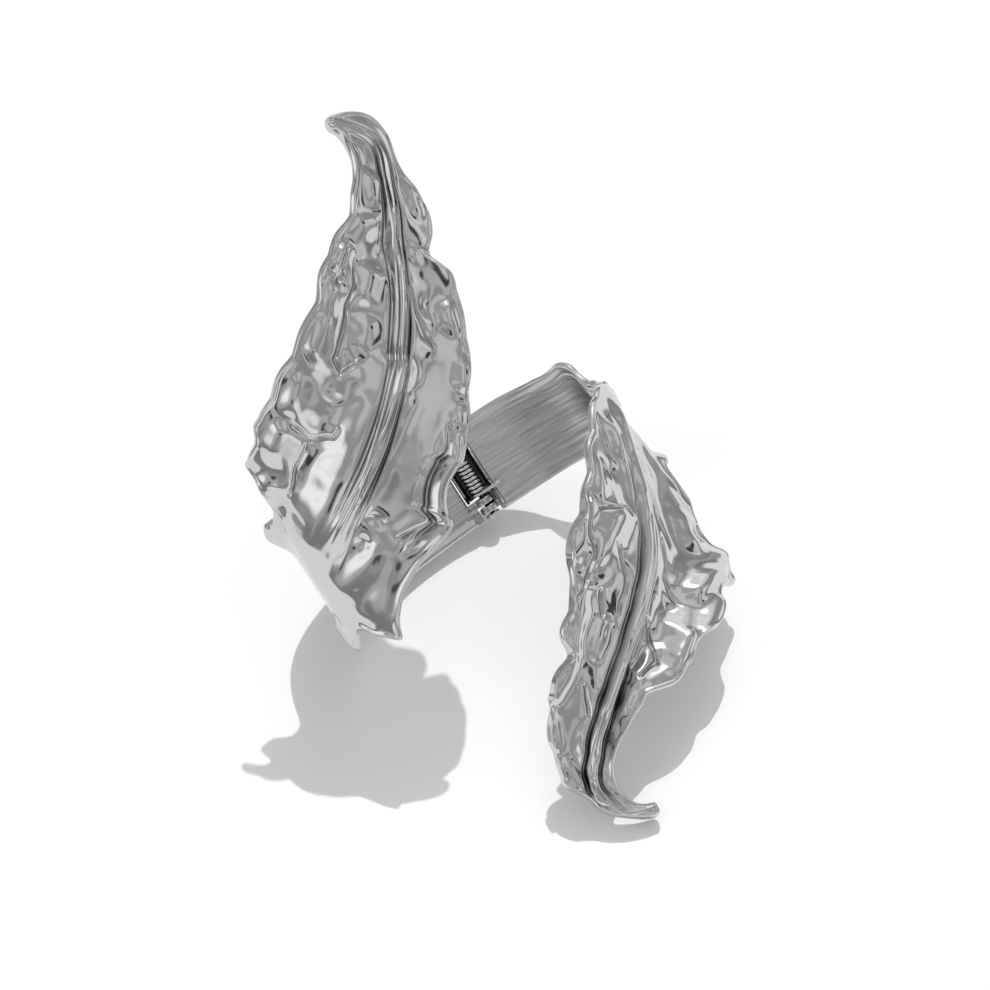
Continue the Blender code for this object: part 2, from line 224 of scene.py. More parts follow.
def to_world(points):
    """From the cuff's own frame in millimetres to the row frame in metres."""
    away = (np.asarray(points, float) - np.array(PIN_CENTRE)) * MM
    return away @ TURN.T + PIN_AT


def hinge_points(table):
    """Points given as along the band, along the pin and inward, from the pin's centre."""
    table = np.asarray(table, float)
    basis = np.array([BAND_WAY[:], PIN_WAY[:], INWARD[:]])
    return to_world(table @ basis + np.array(PIN_CENTRE))


def ring_quads(rows, sides):
    """Faces joining each closed ring of points to the next."""
    grid = np.arange(rows * sides).reshape(rows, sides)
    after = np.roll(grid, -1, axis=1)
    return np.stack([grid[:-1].ravel(), after[:-1].ravel(), after[1:].ravel(), grid[1:].ravel()], 1)


def make_object(name, points, faces, material, body, *nodes):
    mesh = bpy.data.meshes.new(name)
    mesh.vertices.add(len(points))
    mesh.vertices.foreach_set("co", np.asarray(points, np.float32).ravel())
    faces = np.asarray(faces, np.int32)
    mesh.loops.add(faces.size)
    mesh.loops.foreach_set("vertex_index", faces.ravel())
    mesh.polygons.add(len(faces))
    mesh.polygons.foreach_set("loop_start", np.arange(len(faces), dtype=np.int32) * faces.shape[1])
    mesh.update(calc_edges=True)
    mesh.validate()
    mesh.shade_smooth()
    obj = bpy.data.objects.new(name, mesh)
    bpy.context.scene.collection.objects.link(obj)
    obj.data.materials.append(material)
    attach(obj, body)
    if nodes:
        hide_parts(*nodes)
    return obj


# ---------------------------------------------------------------- materials
def node_material(name):
    material = bpy.data.materials.new(name)
    material.use_nodes = True
    nodes = material.node_tree.nodes
    return material, nodes, material.node_tree.links, nodes["Principled BSDF"]


def plated(name, colour, roughness, rough_range, scratch):
    """Polished plating: faint cloudiness, fine handling scratches and painted shade that darkens the colour
    in hollows and creases.
    """
    material, nodes, links, shader = node_material(name)
    shader.inputs["Metallic"].default_value = 1.0
    where = nodes.new("ShaderNodeTexCoord")
    cloud = nodes.new("ShaderNodeTexNoise")
    cloud.inputs["Scale"].default_value = 180.0
    cloud.inputs["Detail"].default_value = 6.0
    links.new(where.outputs["Object"], cloud.inputs["Vector"])
    rough = nodes.new("ShaderNodeMapRange")
    rough.inputs["From Min"].default_value = 0.3
    rough.inputs["From Max"].default_value = 0.7
    rough.inputs["To Min"].default_value = roughness
    rough.inputs["To Max"].default_value = roughness + rough_range
    links.new(cloud.outputs["Fac"], rough.inputs["Value"])
    links.new(rough.outputs["Result"], shader.inputs["Roughness"])
    # Painted shade: ambient occlusion darkens the base colour towards near black in creases and hollows.
    hollow = nodes.new("ShaderNodeAmbientOcclusion")
    hollow.inputs["Distance"].default_value = 0.0020
    hollow.samples = 6
    shade = nodes.new("ShaderNodeMapRange")
    shade.inputs["From Min"].default_value = 0.40
    shade.inputs["From Max"].default_value = 0.92
    shade.inputs["To Min"].default_value = 0.12
    shade.inputs["To Max"].default_value = 1.0
    links.new(hollow.outputs["AO"], shade.inputs["Value"])
    painted_shade_mix = nodes.new("ShaderNodeMix")
    painted_shade_mix.data_type = "RGBA"
    painted_shade_mix.inputs["A"].default_value = (0.10, 0.10, 0.102, 1.0)
    painted_shade_mix.inputs["B"].default_value = (*colour, 1.0)
    links.new(shade.outputs["Result"], painted_shade_mix.inputs["Factor"])
    links.new(painted_shade_mix.outputs["Result"], shader.inputs["Base Color"])
    grain = nodes.new("ShaderNodeTexNoise")
    grain.inputs["Scale"].default_value = 2600.0
    grain.inputs["Detail"].default_value = 3.0
    links.new(where.outputs["Object"], grain.inputs["Vector"])
    relief = nodes.new("ShaderNodeBump")
    relief.inputs["Strength"].default_value = scratch
    relief.inputs["Distance"].default_value = 0.00002
    links.new(grain.outputs["Fac"], relief.inputs["Height"])
    links.new(relief.outputs["Normal"], shader.inputs["Normal"])
    return material


def brushed(name, colour):
    """Inner face of the strap: lengthwise brushing in tone and in a fine bump."""
    material, nodes, links, shader = node_material(name)
    shader.inputs["Metallic"].default_value = 1.0
    where = nodes.new("ShaderNodeAttribute")
    where.attribute_name = "strap"
    streaks = nodes.new("ShaderNodeTexNoise")
    streaks.inputs["Scale"].default_value = 1.0
    streaks.inputs["Detail"].default_value = 5.0
    streaks.inputs["Roughness"].default_value = 0.65
    links.new(where.outputs["Vector"], streaks.inputs["Vector"])
    tone = nodes.new("ShaderNodeMapRange")
    tone.inputs["From Min"].default_value = 0.32
    tone.inputs["From Max"].default_value = 0.68
    tone.inputs["To Min"].default_value = 0.72
    tone.inputs["To Max"].default_value = 1.24
    links.new(streaks.outputs["Fac"], tone.inputs["Value"])
    scaled = nodes.new("ShaderNodeVectorMath")
    scaled.operation = "SCALE"
    scaled.inputs[0].default_value = colour
    links.new(tone.outputs["Result"], scaled.inputs["Scale"])
    links.new(scaled.outputs["Vector"], shader.inputs["Base Color"])
    rough = nodes.new("ShaderNodeMapRange")
    rough.inputs["To Min"].default_value = 0.24
    rough.inputs["To Max"].default_value = 0.40
    links.new(streaks.outputs["Fac"], rough.inputs["Value"])
    links.new(rough.outputs["Result"], shader.inputs["Roughness"])
    relief = nodes.new("ShaderNodeBump")
    relief.inputs["Strength"].default_value = 0.6
    relief.inputs["Distance"].default_value = 0.00005
    links.new(streaks.outputs["Fac"], relief.inputs["Height"])
    links.new(relief.outputs["Normal"], shader.inputs["Normal"])
    return material


STRAP_INSIDE = brushed("brushed_inside", (0.60, 0.60, 0.605))
CAST_UPPER = plated("plated_upper", (0.58, 0.58, 0.585), 0.08, 0.06, 0.15)
CAST_LOWER = plated("plated_lower", (0.60, 0.60, 0.605), 0.08, 0.06, 0.15)
PIN_STEEL = plated("pin_steel_look", (0.62, 0.62, 0.63), 0.22, 0.15, 0.4)
SPRING_STEEL = plated("spring_wire_look", (0.66, 0.66, 0.66), 0.14, 0.10, 0.3)


# ---------------------------------------------------------------- leaf halves
def smooth_track(points, at):
    """A smooth curve through a track, read at the given stations."""
    points = np.array(points)
    knots = points[:, 0]
    values = points[:, 1:]
    slopes = np.gradient(values, knots, axis=0)
    slopes[0] = (values[1] - values[0]) / (knots[1] - knots[0])
    index = np.clip(np.searchsorted(knots, at) - 1, 0, len(knots) - 2)
    span = (knots[index + 1] - knots[index])[:, None]
    t = (at[:, None] - knots[index][:, None]) / span
    start = (2 * t**3 - 3 * t**2 + 1) * values[index]
    start_slope = (t**3 - 2 * t**2 + t) * span * slopes[index]
    end = (3 * t**2 - 2 * t**3) * values[index + 1]
    end_slope = (t**3 - t**2) * span * slopes[index + 1]
    return start + start_slope + end + end_slope


def even_stations(outer, rib, inner, rows):
    """Stations spaced so that the rows of the mesh are evenly far apart."""
    fine = np.linspace(0.0, 10.0, 4001)
    length = np.zeros(len(fine))
    for track in (outer, rib, inner):
        path = smooth_track(track, fine)
        step = np.hypot(*np.diff(path, axis=0).T)
        length[1:] += np.cumsum(step)
    return np.interp(np.linspace(0, length[-1], rows), length, fine)


def run_length(path):
    return np.concatenate([[0.0], np.cumsum(np.hypot(*np.diff(path, axis=0).T))])


def edge_sine(edge, across):
    """How square the rows meet a track: 1 when they cross it at a right angle."""
    way = np.gradient(edge, axis=0)
    way /= np.linalg.norm(way, axis=1, keepdims=True) + 1e-9
    side = across / (np.linalg.norm(across, axis=1, keepdims=True) + 1e-9)
    return np.clip(np.abs(way[:, 0] * side[:, 1] - way[:, 1] * side[:, 0]), 0.25, 1.0)


def segment_distance(x, y, start, end):
    """Distance from each point to a segment, and the place along it from 0 to 1."""
    way = (end[0] - start[0], end[1] - start[1])
    size = way[0] ** 2 + way[1] ** 2
    along = np.clip(((x - start[0]) * way[0] + (y - start[1]) * way[1]) / size, 0, 1)
    return np.hypot(x - start[0] - along * way[0], y - start[1] - along * way[1]), along


def path_distance(x, y, path):
    """Distance to a broken line, and the place along it from 0 to 1."""
    nearest = np.full(x.shape, 99.0)
    place = np.zeros(x.shape)
    for number, (start, end) in enumerate(zip(path, path[1:])):
        away, along = segment_distance(x, y, start, end)
        place = np.where(away < nearest, (number + along) / (len(path) - 1), place)
        nearest = np.minimum(nearest, away)
    return nearest, place


def blur(grid, rows, columns):
    """Box blur with the given reach in cells."""
    for axis, reach in ((0, rows), (1, columns)):
        total = np.zeros_like(grid)
        for step in range(-reach, reach + 1):
            total += np.take(grid, np.clip(np.arange(grid.shape[axis]) + step, 0,
                                           grid.shape[axis] - 1), axis=axis)
        grid = total / (2 * reach + 1)
    return grid


def plates(x, y, size, sharp, seed):
    """Crumpled plates: warped noise pushed towards two levels, with short steep slopes."""
    warp_x = x + 0.30 * size * noise(x / size + 5.2, y / size, seed + 1)
    warp_y = y + 0.30 * size * noise(x / size, y / size + 8.7, seed + 2)
    return np.tanh(sharp * noise(warp_x / size, warp_y / size, seed))


def relief_of(shape):
    """Outer relief of a half in millimetres, from its chart."""
    u, arc, height = shape["u"], shape["arc"], shape["height"]
    from_rib, edge = shape["from_rib"], shape["edge"]
    seed = shape["seed"]
    leaf = smoothstep(3.0, 4.4, u)
    tip = 1 - smoothstep(9.0, 9.9, u)
    outer_side = smoothstep(0.0, 1.2, -from_rib)
    inner_side = smoothstep(0.0, 1.2, from_rib)
    room = smoothstep(0.5, 1.8, edge)
    # A hand-made waver for every drawn feature.
    x = arc + 0.45 * noise(arc / 2.6, height / 2.6, seed + 61)
    y = height + 0.45 * noise(arc / 2.6 + 4.4, height / 2.6, seed + 62)

    drawn = np.zeros(u.shape)
    free = np.ones(u.shape)
    ragged = 1 + 0.16 * noise(arc / 2.8, height / 2.8, seed + 63)
    for start, end, width, tall in shape["blobs"]:
        away, _ = segment_distance(x, y, start, end)
        radius = away / width * ragged
        dome = tall * (1 - smoothstep(0.15, 1.25, radius))
        drawn = np.maximum(drawn, dome)
        seam = 0.5 + 0.5 * noise(arc / 3.1 + 9.0, height / 3.1, seed + 64)
        drawn -= shape["seam"] * tall * seam * bump(radius, 1.22, 0.16)
        free *= 1 - 0.9 * (1 - smoothstep(0.9, 1.6, radius))
    for path, width, tall in shape["ridges"]:
        away, place = path_distance(x, y, path)
        taper = smoothstep(0.0, 0.12, place) * (1 - smoothstep(0.88, 1.0, place))
        drawn += tall * taper * bump(away, 0.0, width)
        drawn -= 0.35 * tall * taper * bump(away, 2.0 * width, 0.55 * width)
        free *= 1 - 0.92 * taper * bump(away, 0.0, 1.7 * width)
    reach = shape["blur"]
    for _ in range(2):
        drawn = blur(drawn, *reach)
        free = blur(free, *reach)
    for path in shape["creases"]:
        away, place = path_distance(x, y, path)
        taper = smoothstep(0.0, 0.15, place) * (1 - smoothstep(0.85, 1.0, place))
        drawn -= 0.38 * taper * bump(away, 0.0, 0.31)
        drawn += 0.07 * taper * bump(away, 1.2, 0.7)

    relief = drawn * smoothstep(0.0, 0.7, edge)
    # Rolled bead round the whole outline.
    relief += (0.12 + 0.14 * leaf) * bump(edge, 0.50, 0.36)
    # Crumpled panels between the rim and the midrib.
    part = smoothstep(1.4, 2.8, np.abs(from_rib)) * room * tip * free
    outer_part = outer_side * smoothstep(4.2, 5.4, u)
    inner_part = inner_side * smoothstep(5.6, 7.2, u)
    big = plates(arc, height, 7.0, 2.2, seed + 23)
    small = plates(arc, height, 4.4, 1.5, seed + 27)
    relief += part * (outer_part + 0.5 * inner_part) * shape["crumple"] * (0.34 * big + 0.10 * small)
    # Softly hammered ground.
    soft = 0.36 * noise(arc / 6.5, height / 6.5, seed + 31)
    soft += 0.08 * noise(arc / 3.4, height / 3.4, seed + 32)
    relief += soft * leaf * tip * free * smoothstep(1.0, 2.5, np.abs(from_rib))
    # The leaf dips between its midrib and its rim.
    valley = shape["valley"]
    dip = smoothstep(3.2, 4.2, u) * (1 - smoothstep(7.4, 8.8, u))
    relief -= dip * (valley[0] * outer_side + valley[1] * inner_side) * bump(np.abs(shape["v"]), 0.38, 0.28)
    # Midrib: a narrow bundle of ridges between two grooves.
    spread = np.interp(u, [3.6, 4.6, 6.5, 8.0, 9.0, 10.0], [1.5, 1.1, 1.0, 0.9, 0.7, 0.45])
    bundle = smoothstep(3.9, 5.4, u) * (1 - 0.85 * smoothstep(8.9, 9.6, u))
    across = from_rib / spread / shape["rib_spread"]
    relief += bundle * 0.60 * bump(across, 0.0, 1.5)
    relief -= bundle * 0.55 * (bump(across, 2.1, 0.42) + 0.8 * bump(across, -2.0, 0.42))
    for i, (place, width, tall) in enumerate(shape["strands"]):
        wander = 0.22 * np.sin(2.3 * u + 1.9 * i + seed) + 0.14 * np.sin(4.9 * u + 2.7 * i)
        relief += bundle * tall * bump(across, place + wander, width)
        relief -= bundle * tall * 0.5 * bump(across, place + wander + 2.0 * width, width * 0.7)
    for at, at_height, size, tall in shape["dents"]:
        away = np.hypot((x - at) / size, (y - at_height) / size)
        relief += tall * np.exp(-(away**2))
    # A rolled lip round the hollow cut out beside the hinge.
    lip = smoothstep(4.5, 5.0, u) * (1 - smoothstep(5.8, 6.3, u)) * inner_side * shape["lip"]
    relief += lip * (
        0.9 * bump(edge, 1.3, 0.9) - 0.55 * bump(edge, 3.0, 0.45) + 0.25 * bump(edge, 3.9, 0.6))
    # Folds that gather where the leaf turns into the strap.
    gather = smoothstep(2.4, 3.0, u) * (1 - smoothstep(3.8, 4.8, u))
    fold = shape["v"] + 0.10 * noise(u * 1.7, shape["v"] * 2.0, seed + 43)
    relief += gather * shape["gather"] * noise(fold * 2.2, u * 0.8, seed + 44) * room
    strap = 1 - smoothstep(2.6, 3.6, u)
    relief += strap * 0.10 * noise(shape["v"] * 14.0, u * 0.8, seed + 41)
    relief += strap * 0.05 * noise(shape["v"] * 31.0, u * 1.1, seed + 42)
    return relief


def inner_relief_of(shape, relief):
    """Hollow side: follows the outer relief softly; lengthwise grooves on the strap."""
    u, v, seed = shape["u"], shape["v"], shape["seed"]
    follow = 0.8 * blur(relief, 4, 3) * smoothstep(2.8, 4.2, u)
    strap = 1 - smoothstep(3.6, 5.4, u)
    coordinate = v + 0.030 * noise(u * 1.3, v * 1.2, seed + 51)
    lines = 0.020 * noise(coordinate * 11.0, u * 0.4, seed + 52)
    lines += 0.013 * noise(coordinate * 23.0, u * 0.4, seed + 53)
    lines += 0.006 * noise(coordinate * 47.0, u * 0.5, seed + 54)
    lines += 0.07 * noise(u * 1.2, v * 1.5, seed + 55)
    fold = 0.12 * smoothstep(1.8, 3.4, u) * noise(coordinate * 5.0, u * 0.8, seed + 56)
    flange = 0.16 * bump(v, 0.92, 0.08) - 0.08 * bump(v, 0.78, 0.06)
    return follow - strap * (lines + fold + flange)


def half_piece(name, tracks, turned, style, material, body, node):
    """One cast half: leaf and strap, from its tracks and its style."""
    at = even_stations(*tracks, ROWS)
    outer, rib, inner = (smooth_track(track, at) for track in tracks)
    line = np.linspace(-1.0, 1.0, COLUMNS)
    v = np.sign(line) * (1 - (1 - np.abs(line)) ** 1.35)
    rib_reach_out = np.linalg.norm(outer - rib, axis=1)[:, None]
    rib_reach_in = np.linalg.norm(inner - rib, axis=1)[:, None]
    # Lobed outline.
    for edge, pads in ((outer, style["outer_lobes"]), (inner, style["inner_lobes"])):
        run = run_length(edge)
        phase = run / pads["length"]
        phase = phase + 0.35 * noise(run / (2.3 * pads["length"]), run * 0 + 0.5,
                                     style["seed"] + pads["seed"])
        lobe = (0.5 - 0.5 * np.cos(2 * math.pi * phase)) ** 0.65
        amount = pads["lobe"] * smoothstep(*pads["from"], at) * (1 - smoothstep(*pads["to"], at))
        out = edge - rib
        out /= np.linalg.norm(out, axis=1, keepdims=True) + 1e-9
        edge += out * ((lobe - 0.6) * amount)[:, None]
    for edge, nibs in ((outer, style["outer_nibs"]), (inner, style["inner_nibs"])):
        out = edge - rib
        out /= np.linalg.norm(out, axis=1, keepdims=True) + 1e-9
        for station, width, size in nibs:
            edge += out * (size * bump(at, station, width))[:, None]
    # The tip's outline closes in a half circle.
    to_tip = run_length(rib)[-1] - run_length(rib)
    closing = np.sqrt(np.clip(1 - (1 - np.clip(to_tip / TIP_ROUND, 0, 1)) ** 2, 0.0009, 1))[:, None]
    outer = rib + (outer - rib) * closing
    inner = rib + (inner - rib) * closing
    left = np.clip(-v, 0, 1)[None, :, None]
    right = np.clip(v, 0, 1)[None, :, None]
    flat = left * outer[:, None] + (1 - left - right) * rib[:, None] + right * inner[:, None]
    reach_out = np.linalg.norm(outer - rib, axis=1)[:, None]
    reach_in = np.linalg.norm(inner - rib, axis=1)[:, None]
    sine_out = edge_sine(outer, outer - rib)[:, None]
    sine_in = edge_sine(inner, inner - rib)[:, None]
    sine_rib_out = edge_sine(rib, outer - rib)[:, None]
    sine_rib_in = edge_sine(rib, inner - rib)[:, None]
    side = v[None, :] < 0
    shape = dict(style)
    shape["u"] = at[:, None] + 0 * v[None, :]
    shape["v"] = v[None, :] + 0 * at[:, None]
    shape["arc"] = flat[..., 0]
    shape["height"] = flat[..., 1]
    shape["from_rib"] = np.where(side, v * rib_reach_out * sine_rib_out,
                                 v * rib_reach_in * sine_rib_in)
    shape["edge"] = (1 - np.abs(v)) * np.where(side, reach_out * sine_out, reach_in * sine_in)
    ends = np.minimum(run_length(rib), run_length(rib)[-1] - run_length(rib))[:, None]
    shape["edge"] = np.minimum(shape["edge"], ends + 0.02)
    row_step = run_length(rib)[-1] / len(at)
    column_step = np.median(reach_out + reach_in) / len(v)
    shape["blur"] = [max(1, round(BLUR_REACH / step)) for step in (row_step, column_step)]
    relief = relief_of(shape)
    inner_relief = inner_relief_of(shape, relief)
    # Rounded edge: both faces close in on the middle of the sheet.
    near = np.clip(shape["edge"] / EDGE_ROUND, 0, 1)
    close = 1 - np.sqrt(1 - (1 - near) ** 2)
    thick = SHEET - 0.25
    depth, station, length, fade = style["waist"]
    hollow = depth * bump(shape["u"], station, length)
    hollow = hollow * (1 - fade * np.clip(shape["v"], 0, 1) ** 2)
    top = relief - hollow - thick * 0.5 * close
    bottom = inner_relief - hollow - thick + thick * 0.5 * close
    # The tip thickens into a blunt round horn.
    horn = smoothstep(8.6, 9.6, shape["u"]) * np.sqrt(np.clip(1 - shape["v"] ** 2, 0, 1))
    horn = horn * np.sqrt(np.clip(1 - (1 - np.clip(ends / 1.6, 0, 1)) ** 2, 0, 1))
    top = top + 0.9 * horn
    bottom = bottom - 0.5 * horn
    bottom = np.minimum(bottom, top - 0.05 - 0.45 * (1 - close))
    points = []
    for lift in (top, bottom):
        p = on_ring(flat[..., 0], flat[..., 1], lift)
        if turned:
            p = p * np.array([-1.0, -1.0, 1.0])
        points.append(p.reshape(-1, 3))
    rows, columns = len(at), len(v)
    count = rows * columns
    grid = np.arange(count).reshape(rows, columns)
    a = grid[:-1, :-1].ravel()
    b = grid[:-1, 1:].ravel()
    c = grid[1:, 1:].ravel()
    d = grid[1:, :-1].ravel()
    rim = np.concatenate([grid[0, :-1], grid[:-1, -1], grid[-1, :0:-1], grid[:0:-1, 0]])
    after = np.roll(rim, -1)
    faces = np.vstack([
        np.stack([a, b, c, d], 1),
        np.stack([d, c, b, a], 1) + count,
        np.stack([rim, rim + count, after + count, after], 1),
    ])
    world = to_world(np.vstack(points))
    # Turn the faces out when they point in.
    p = world[faces]
    volume = np.einsum("ij,ij->i", p[:, 0], np.cross(p[:, 1], p[:, 2])).sum()
    volume += np.einsum("ij,ij->i", p[:, 0], np.cross(p[:, 2], p[:, 3])).sum()
    if volume < 0:
        faces = faces[:, ::-1]
    obj = make_object(name, world, faces, material, body, node)
    # The strap's inner face is brushed, not polished.
    obj.data.materials.append(STRAP_INSIDE)
    strap = np.stack([shape["u"] * 0.9, shape["v"] * 16.0, 0 * shape["u"]], -1).reshape(-1, 3)
    strap = np.vstack([strap, strap]).astype(np.float32)
    place = obj.data.attributes.new("strap", "FLOAT_VECTOR", "POINT")
    place.data.foreach_set("vector", strap.ravel())
    quads = len(a)
    station = shape["u"][:-1, :-1].ravel()
    inside = np.zeros(len(faces), np.int32)
    inside[quads:2 * quads] = station < BRUSHED_END
    obj.data.polygons.foreach_set("material_index", inside)


UPPER_STYLE = {
    "seed": 3,
    "waist": (5.0, 2.7, 0.55, 0.35),
    "lip": 1.0,
    "seam": 0.45,
    "gather": 0.16,
    "crumple": 1.0,
    "valley": (0.4, 0.5),
    "rib_spread": 0.75,
    "outer_lobes": {"length": 7.0, "seed": 1, "lobe": 0.6, "from": (3.9, 4.5), "to": (8.2, 8.8)},
    "inner_lobes": {"length": 8.0, "seed": 2, "lobe": 0.4, "from": (6.0, 6.4), "to": (8.9, 9.4)},
    "strands": [(-1.15, 0.34, 0.40), (0.0, 0.38, 0.50), (1.15, 0.34, 0.42)],
    "outer_nibs": [(3.16, 0.06, 1.5), (4.25, 0.08, 0.6), (4.9, 0.10, 0.5)],
    "inner_nibs": [(3.22, 0.05, 0.8), (3.76, 0.06, 0.9)],
    "blobs": [
        ((-3.0, 41.5), (-1.5, 42.5), 1.7, 0.9), ((-8.5, 37.0), (-6.0, 39.0), 1.9, 1.0),
        ((-13.0, 33.0), (-10.0, 35.5), 2.0, 1.0), ((-26.5, 24.0), (-24.5, 25.5), 2.1, 0.9),
        ((-32.5, 19.0), (-31.0, 20.0), 1.7, 0.8), ((3.6, 16.2), (5.2, 18.8), 1.7, 0.9),
        ((-0.8, 11.8), (0.2, 12.8), 1.6, 0.9), ((-4.6, 9.4), (-3.8, 9.8), 1.4, 0.7),
        ((8.0, 46.8), (9.6, 48.4), 1.6, 0.6), ((-1.6, 35.6), (0.6, 37.0), 1.8, 0.8),
        ((-7.0, 29.5), (-4.5, 31.5), 1.9, 0.7), ((-13.5, 26.0), (-10.5, 26.5), 1.6, 0.6),
        ((13.5, 41.0), (14.5, 44.0), 1.6, 0.5), ((7.0, 24.0), (8.4, 26.4), 1.5, 0.7),
        ((-20.5, 28.0), (-18.0, 30.0), 1.8, 0.8),
    ],
    "ridges": [
        ([(-3.0, 26.5), (-5.5, 24.0), (-12.5, 19.5), (-20.0, 15.0), (-27.5, 10.5), (-34.0, 7.0)],
         2.7, 1.4),
        ([(-21.0, 3.0), (-28.0, 0.5), (-36.0, -2.5)], 1.2, 0.4),
    ],
    "creases": [
        [(0.5, 41.5), (-3.5, 37.0), (-7.0, 33.5), (-11.5, 30.5), (-12.0, 28.0), (-6.5, 27.5)],
        [(-22.5, 27.0), (-21.5, 22.5), (-18.3, 20.5), (-15.7, 21.5)],
        [(-21.5, 22.5), (-25.5, 19.8), (-29.0, 16.0)],
        [(5.5, 33.5), (3.8, 28.0), (3.0, 22.0)],
        [(0.0, 43.5), (-2.5, 41.0), (-5.0, 39.5)],
        [(-19.0, 2.5), (-15.0, 2.5), (-11.5, 2.0)],
    ],
    "dents": [
        (-39.0, 12.4, 3.2, 2.4),
        (-23.0, 4.5, 1.3, -0.5), (-19.2, 7.0, 1.1, -0.5),
        (5.0, 40.2, 2.6, -0.9), (6.8, 28.6, 2.4, -0.6), (4.3, 24.2, 2.6, -0.7),
        (-9.8, 8.5, 0.9, -0.16), (-3.5, 19.5, 1.0, -0.22), (-31.5, 15.5, 1.6, -0.5),
        (8.5, 36.0, 1.4, 0.5),
    ],
}
LOWER_STYLE = {
    "seed": 11,
    "waist": (1.6, 3.0, 0.30, 0.70),
    "lip": 0.0,
    "seam": 0.55,
    "gather": 0.5,
    "crumple": 0.35,
    "valley": (2.4, 0.3),
    "rib_spread": 0.8,
    "outer_lobes": {"length": 8.5, "seed": 1, "lobe": 1.1, "from": (3.5, 3.9), "to": (6.8, 7.2)},
    "inner_lobes": {"length": 7.0, "seed": 2, "lobe": 0.7, "from": (2.9, 3.3), "to": (9.3, 9.7)},
    "strands": [(-0.9, 0.55, 0.35), (0.9, 0.55, 0.35)],
    "outer_nibs": [(3.28, 0.07, 1.4)],
    "inner_nibs": [(3.1, 0.07, 0.6), (3.5, 0.08, 0.6)],
    "blobs": [
        ((-6.5, 17.0), (-14.0, 14.5), 2.6, 1.3), ((-3.0, 20.0), (-10.5, 19.5), 0.95, 0.7),
        ((2.5, 28.5), (-1.5, 25.5), 1.3, 0.7), ((-34.0, 20.0), (-34.0, 15.5), 1.6, 0.8),
        ((-27.0, 25.0), (-29.0, 21.5), 1.8, 1.0), ((-19.5, 31.0), (-32.5, 29.5), 2.1, 1.3),
        ((-15.5, 36.0), (-22.0, 34.0), 1.8, 1.1), ((-8.0, 37.5), (-12.5, 35.0), 1.7, 1.0),
        ((-3.5, 15.0), (-10.5, 9.5), 1.5, 0.9), ((5.0, 26.0), (-1.5, 19.0), 1.5, 0.9),
        ((11.5, 30.5), (6.5, 27.0), 1.4, 0.8), ((15.5, 36.5), (13.5, 33.5), 1.4, 0.8),
        ((16.0, 43.5), (16.0, 39.5), 1.2, 0.6), ((-13.5, 10.0), (-16.0, 6.0), 1.2, 0.7),
        ((-28.0, 12.0), (-28.0, 9.0), 1.3, 0.7), ((-22.0, 6.5), (-23.5, 3.0), 1.0, 0.6),
    ],
    "ridges": [
        ([(-29.0, -0.5), (-24.0, 10.5), (-17.0, 20.5), (-7.0, 28.0)], 0.75, 0.7),
        ([(-23.5, -1.0), (-21.5, 9.0), (-15.5, 18.5), (-7.0, 24.5)], 0.6, 0.55),
        ([(-13.0, 21.0), (6.0, 34.5)], 0.6, 0.5),
        ([(-9.5, 26.0), (-0.5, 31.5), (7.0, 37.5)], 0.65, 0.55),
        ([(-8.5, 33.0), (1.0, 35.5), (8.5, 40.0)], 0.8, 0.65),
        ([(6.0, 34.5), (12.5, 39.0), (13.5, 45.0)], 0.7, 0.6),
    ],
    "creases": [
        [(-22.0, 20.0), (-17.0, 27.0), (-16.0, 31.5)],
        [(-10.0, 28.0), (-6.0, 35.0), (-1.0, 35.5)],
        [(-11.5, 11.0), (-15.5, 13.5)],
        [(-4.0, 20.5), (-1.5, 25.0)],
        [(-13.0, 6.5), (-5.5, 16.5), (1.5, 21.0)],
        [(-11.0, 16.0), (-9.0, 22.0), (-4.0, 26.0)],
        [(6.5, 30.5), (9.0, 36.0)],
    ],
    "dents": [
        (-35.4, 12.6, 1.9, 2.2), (-18.0, 8.0, 1.3, -0.6), (-31.0, 24.5, 1.4, -0.5),
        (-14.0, 30.5, 1.6, -0.5),
    ],
}
half_piece("upper_leaf_cast", (UPPER_OUTER, UPPER_RIB, UPPER_INNER), False, UPPER_STYLE,
           CAST_UPPER, "upper_half", "upper_leaf_half")
half_piece("lower_leaf_cast", (LOWER_OUTER, LOWER_RIB, LOWER_INNER), True, LOWER_STYLE,
           CAST_LOWER, "lower_half", "lower_leaf_half")


# ---------------------------------------------------------------- hinge
def turned_piece(name, profile, material, body, *nodes, sides=96):
    """A solid of revolution about the pin: profile is (height, radius) from end to end."""
    profile = np.array(profile, float)
    turn = np.linspace(0, 2 * math.pi, sides, endpoint=False)
    table = np.stack([
        np.outer(profile[:, 1], np.cos(turn)),
        np.repeat(profile[:, 0][:, None], sides, 1),
        np.outer(profile[:, 1], np.sin(turn)),
    ], axis=-1)
    faces = ring_quads(len(profile), sides)[:, ::-1]
    make_object(name, hinge_points(table.reshape(-1, 3)), faces, material, body, *nodes)


def rounded_bar(low, high, radius, bevel):
    """Profile of a barrel with rounded ends, from low to high."""
    corner = np.linspace(0, math.pi / 2, 7)
    profile = [(low, END_POINT)] + [(low + bevel - bevel * math.cos(a), radius - bevel + bevel * math.sin(a))
                               for a in corner]
    profile += [(high - bevel + bevel * math.sin(a), radius - bevel + bevel * math.cos(a))
                for a in corner]
    profile.append((high, END_POINT))
    return profile


inside_high = HINGE_HALF - KNUCKLE_LENGTH - KNUCKLE_GAP
ZONES = {
    "lower": (HINGE_HALF - KNUCKLE_LENGTH, HINGE_HALF, 1, CAST_LOWER),
    "upper": (inside_high - KNUCKLE_LENGTH, inside_high, -1, CAST_UPPER),
}


